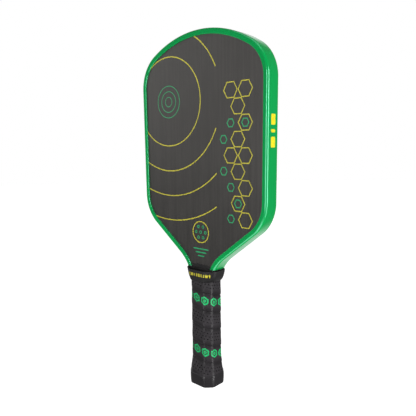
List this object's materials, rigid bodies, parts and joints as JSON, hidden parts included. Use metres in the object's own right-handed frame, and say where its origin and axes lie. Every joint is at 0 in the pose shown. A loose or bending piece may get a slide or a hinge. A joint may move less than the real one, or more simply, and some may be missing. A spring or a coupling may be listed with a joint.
{
  "type": "pickleball paddle",
  "caption": "Pickleball paddle with a flat honeycomb-core head, carbon faces, a raised edge guard, a wrapped octagon handle and a sliding rubber collar.",
  "frame": {"origin": "centre of the butt cap's flat end face", "axes": "+Z from the butt along the handle to the tip, X across the head, -Y out of the front face"},
  "size_m": [0.192, 0.0354, 0.414],
  "materials": {
    "carbon_face": "satin raw carbon laminate, fine upright fibre",
    "guard_green": "satin-gloss moulded plastic",
    "collar_rubber": "matte rubber",
    "grip_cushion": "soft tacky polyurethane, perforated",
    "cap_plastic": "satin moulded plastic",
    "core_plastic": "natural polypropylene",
    "foam": "rigid foam",
    "glue": "cured glue film",
    "carbon_wall": "carbon laminate",
    "tape_white": "double-sided tape",
    "pallet": "plain pallet, unpainted",
    "finish_black": "thin black tape"
  },
  "bodies": {
    "paddle": {"core_honeycomb": "core_plastic", "foam_rim": "foam", "front_skin": "carbon_face", "rear_skin": "carbon_face", "front_glue_film": "glue", "rear_glue_film": "glue", "edge_wrap": "carbon_wall", "edge_tape": "tape_white", "edge_guard": "guard_green", "handle_shell_front": "pallet", "handle_shell_rear": "pallet", "butt_cap": "cap_plastic", "grip_tape": "grip_cushion", "finishing_tape": "finish_black"},
    "collar": {"grip_collar": "collar_rubber"}
  },
  "joints": [
    {"name": "collar_slide", "type": "slide", "parent": "paddle", "child": "collar", "axis": [0, 0, -1], "range_m": [0, 0.085]}
  ]
}
